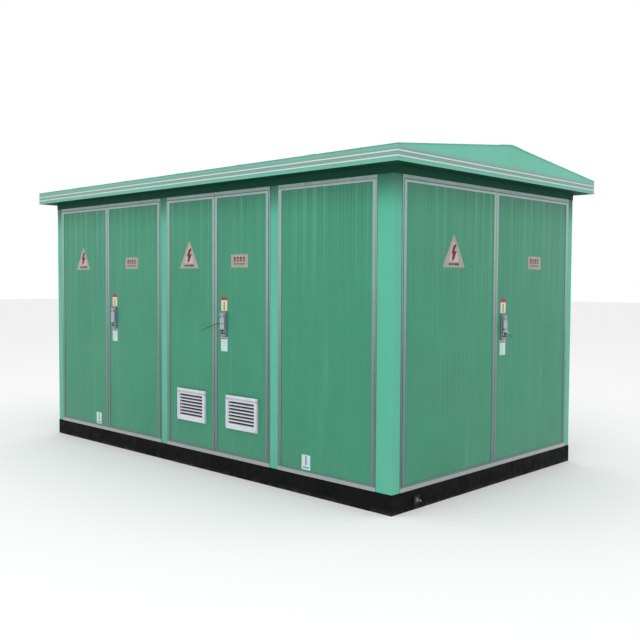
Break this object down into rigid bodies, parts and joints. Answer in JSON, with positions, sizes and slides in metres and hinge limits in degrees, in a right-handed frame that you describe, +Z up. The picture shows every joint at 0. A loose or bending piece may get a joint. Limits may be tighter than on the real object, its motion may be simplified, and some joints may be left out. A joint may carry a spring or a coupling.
{
  "type": "pad-mounted transformer",
  "caption": "Walk-up pad-mounted transformer housing with hinged double doors, rod locks, louvres and a gable roof over low-voltage, transformer and high-voltage rooms.",
  "frame": {"origin": "centre of the footprint, on the plane that the base rests on", "axes": "+X along the length towards the high-voltage end, -Y out of the front doors, +Z up"},
  "size_m": [4.56, 2.69, 2.551],
  "materials": {
    "base_black": "black satin enamel",
    "roof_green": "green coated sheet",
    "winding_copper": "copper and core steel",
    "zinc_steel": "zinc plated",
    "fan_black": "black enamel",
    "fan_grey": "moulded plastic",
    "rib_white": "white enamel",
    "panel_green": "green ribbed sandwich sheet",
    "floor_grey": "grey chequer plate",
    "post_green": "light green powder coat",
    "trim_aluminium": "satin anodised",
    "lock_grey": "grey die-cast finish",
    "knob_black": "moulded plastic",
    "cubicle_grey": "light grey powder coat",
    "louvre_white": "white moulded plastic",
    "inner_white": "off-white coated sheet",
    "bushing_brown": "brown glaze",
    "tank_grey": "grey tank enamel"
  },
  "bodies": {
    "root": {"base_frame": "base_black", "ceiling_sheet": "roof_green", "core_and_windings": "winding_copper", "earth_terminal": "zinc_steel", "fan_housing": "fan_black", "fascia": "roof_green", "fascia_ribs": "rib_white", "fixed_wall_panels": "panel_green", "floor_plates": "floor_grey", "gable_plates": "roof_green", "header_rails": "post_green", "hinge_pins": "zinc_steel", "hv_front_panel": "panel_green", "hv_switchgear": "cubicle_grey", "lv_switchboard": "cubicle_grey", "opening_trims": "trim_aluminium", "rear_louvres": "louvre_white", "roof_covering": "roof_green", "room_partitions": "inner_white", "transformer_bushings": "bushing_brown", "transformer_cover": "tank_grey", "transformer_radiators": "tank_grey", "transformer_tank": "tank_grey", "wall_posts": "post_green"},
    "lv_door_left": {"lv_door_left_frame": "trim_aluminium", "lv_door_left_panel": "panel_green"},
    "lv_door_right": {"lv_door_right_frame": "trim_aluminium", "lv_door_right_panel": "panel_green", "lv_lock_housing": "lock_grey"},
    "lv_lock_hub": {"lv_lock_hub": "lock_grey"},
    "lv_lock_lever": {"lv_lock_lever": "lock_grey"},
    "lv_lock_rod_upper": {"lv_lock_rod_upper": "zinc_steel"},
    "lv_lock_rod_lower": {"lv_lock_rod_lower": "zinc_steel"},
    "tr_door_left": {"tr_door_left_frame": "trim_aluminium", "tr_door_left_panel": "panel_green", "tr_door_left_louvre": "louvre_white"},
    "tr_door_right": {"tr_door_right_frame": "trim_aluminium", "tr_door_right_panel": "panel_green", "tr_door_right_louvre": "louvre_white", "tr_lock_housing": "lock_grey"},
    "tr_lock_hub": {"tr_lock_hub": "lock_grey"},
    "tr_lock_lever": {"tr_lock_lever": "lock_grey"},
    "tr_lock_rod_upper": {"tr_lock_rod_upper": "zinc_steel"},
    "tr_lock_rod_lower": {"tr_lock_rod_lower": "zinc_steel"},
    "hv_door_left": {"hv_door_left_frame": "trim_aluminium", "hv_door_left_panel": "panel_green"},
    "hv_door_right": {"hv_door_right_frame": "trim_aluminium", "hv_door_right_panel": "panel_green", "hv_lock_housing": "lock_grey"},
    "hv_lock_hub": {"hv_lock_hub": "lock_grey"},
    "hv_lock_lever": {"hv_lock_lever": "lock_grey"},
    "hv_lock_rod_upper": {"hv_lock_rod_upper": "zinc_steel"},
    "hv_lock_rod_lower": {"hv_lock_rod_lower": "zinc_steel"},
    "fan_impeller": {"fan_impeller": "fan_grey"},
    "tap_changer_knob": {"tap_changer_knob": "knob_black"},
    "hv_switch_handle_1": {"hv_switch_handle_1": "knob_black"},
    "hv_switch_handle_2": {"hv_switch_handle_2": "knob_black"},
    "lv_main_handle": {"lv_main_handle": "knob_black"},
    "lv_feeder_1_handle": {"lv_feeder_1_handle": "knob_black"},
    "lv_feeder_2_handle": {"lv_feeder_2_handle": "knob_black"}
  },
  "joints": [
    {"name": "lv_door_left_hinge", "type": "hinge", "parent": "root", "child": "lv_door_left", "pos_m": [-2.008, -1.207, 1.2], "axis": [0, 0, -1], "range_deg": [0, 110]},
    {"name": "lv_door_right_hinge", "type": "hinge", "parent": "root", "child": "lv_door_right", "pos_m": [-0.448, -1.207, 1.2], "axis": [0, 0, 1], "range_deg": [0, 90]},
    {"name": "lv_lock_turn", "type": "hinge", "parent": "lv_door_right", "child": "lv_lock_hub", "pos_m": [-1.113, -1.2325, 1.262], "axis": [0, -1, 0], "range_deg": [0, 90]},
    {"name": "lv_lever_lift", "type": "hinge", "parent": "lv_lock_hub", "child": "lv_lock_lever", "pos_m": [-1.113, -1.24, 1.262], "axis": [-1, 0, 0], "range_deg": [0, 35]},
    {"name": "lv_rod_upper_slide", "type": "slide", "parent": "lv_door_right", "child": "lv_lock_rod_upper", "axis": [0, 0, -1], "range_m": [0, 0.017]},
    {"name": "lv_rod_lower_slide", "type": "slide", "parent": "lv_door_right", "child": "lv_lock_rod_lower", "axis": [0, 0, 1], "range_m": [0, 0.017]},
    {"name": "tr_door_left_hinge", "type": "hinge", "parent": "root", "child": "tr_door_left", "pos_m": [-0.258, -1.207, 1.2], "axis": [0, 0, -1], "range_deg": [0, 90]},
    {"name": "tr_door_right_hinge", "type": "hinge", "parent": "root", "child": "tr_door_right", "pos_m": [0.927, -1.207, 1.2], "axis": [0, 0, 1], "range_deg": [0, 110]},
    {"name": "tr_lock_turn", "type": "hinge", "parent": "tr_door_right", "child": "tr_lock_hub", "pos_m": [0.4495, -1.2325, 1.262], "axis": [0, -1, 0], "range_deg": [0, 90]},
    {"name": "tr_lever_lift", "type": "hinge", "parent": "tr_lock_hub", "child": "tr_lock_lever", "pos_m": [0.4495, -1.24, 1.262], "axis": [-1, 0, 0], "range_deg": [0, 35]},
    {"name": "tr_rod_upper_slide", "type": "slide", "parent": "tr_door_right", "child": "tr_lock_rod_upper", "axis": [0, 0, -1], "range_m": [0, 0.017]},
    {"name": "tr_rod_lower_slide", "type": "slide", "parent": "tr_door_right", "child": "tr_lock_rod_lower", "axis": [0, 0, 1], "range_m": [0, 0.017]},
    {"name": "hv_door_left_hinge", "type": "hinge", "parent": "root", "child": "hv_door_left", "pos_m": [2.142, -1.08, 1.2], "axis": [0, 0, -1], "range_deg": [0, 110]},
    {"name": "hv_door_right_hinge", "type": "hinge", "parent": "root", "child": "hv_door_right", "pos_m": [2.142, 1.08, 1.2], "axis": [0, 0, 1], "range_deg": [0, 110]},
    {"name": "hv_lock_turn", "type": "hinge", "parent": "hv_door_right", "child": "hv_lock_hub", "pos_m": [2.1675, 0.115, 1.262], "axis": [1, 0, 0], "range_deg": [0, 90]},
    {"name": "hv_lever_lift", "type": "hinge", "parent": "hv_lock_hub", "child": "hv_lock_lever", "pos_m": [2.175, 0.115, 1.262], "axis": [0, -1, 0], "range_deg": [0, 35]},
    {"name": "hv_rod_upper_slide", "type": "slide", "parent": "hv_door_right", "child": "hv_lock_rod_upper", "axis": [0, 0, -1], "range_m": [0, 0.017]},
    {"name": "hv_rod_lower_slide", "type": "slide", "parent": "hv_door_right", "child": "hv_lock_rod_lower", "axis": [0, 0, 1], "range_m": [0, 0.017]},
    {"name": "fan_spin", "type": "hinge", "parent": "root", "child": "fan_impeller", "pos_m": [0.3345, 0, 2.28], "axis": [0, 0, 1], "continuous": true},
    {"name": "tap_changer_turn", "type": "hinge", "parent": "root", "child": "tap_changer_knob", "pos_m": [0.3345, 0, 0.92], "axis": [0, 0, 1], "range_deg": [-60, 60]},
    {"name": "hv_switch_1_turn", "type": "hinge", "parent": "root", "child": "hv_switch_handle_1", "pos_m": [1.91, -0.48, 1.05], "axis": [1, 0, 0], "range_deg": [0, 90]},
    {"name": "hv_switch_2_turn", "type": "hinge", "parent": "root", "child": "hv_switch_handle_2", "pos_m": [1.91, 0, 1.05], "axis": [1, 0, 0], "range_deg": [0, 90]},
    {"name": "lv_main_turn", "type": "hinge", "parent": "root", "child": "lv_main_handle", "pos_m": [-1.578, -0.735, 1.05], "axis": [0, -1, 0], "range_deg": [0, 90]},
    {"name": "lv_feeder_1_turn", "type": "hinge", "parent": "root", "child": "lv_feeder_1_handle", "pos_m": [-1.004, -0.735, 1.05], "axis": [0, -1, 0], "range_deg": [0, 90]},
    {"name": "lv_feeder_2_turn", "type": "hinge", "parent": "root", "child": "lv_feeder_2_handle", "pos_m": [-0.752, -0.735, 1.05], "axis": [0, -1, 0], "range_deg": [0, 90]}
  ],
  "couplings": [
    {"joint": "lv_rod_upper_slide", "follows": "lv_lock_turn", "m_per_rad": 0.0108},
    {"joint": "lv_rod_lower_slide", "follows": "lv_lock_turn", "m_per_rad": 0.0108},
    {"joint": "tr_rod_upper_slide", "follows": "tr_lock_turn", "m_per_rad": 0.0108},
    {"joint": "tr_rod_lower_slide", "follows": "tr_lock_turn", "m_per_rad": 0.0108},
    {"joint": "hv_rod_upper_slide", "follows": "hv_lock_turn", "m_per_rad": 0.0108},
    {"joint": "hv_rod_lower_slide", "follows": "hv_lock_turn", "m_per_rad": 0.0108}
  ]
}
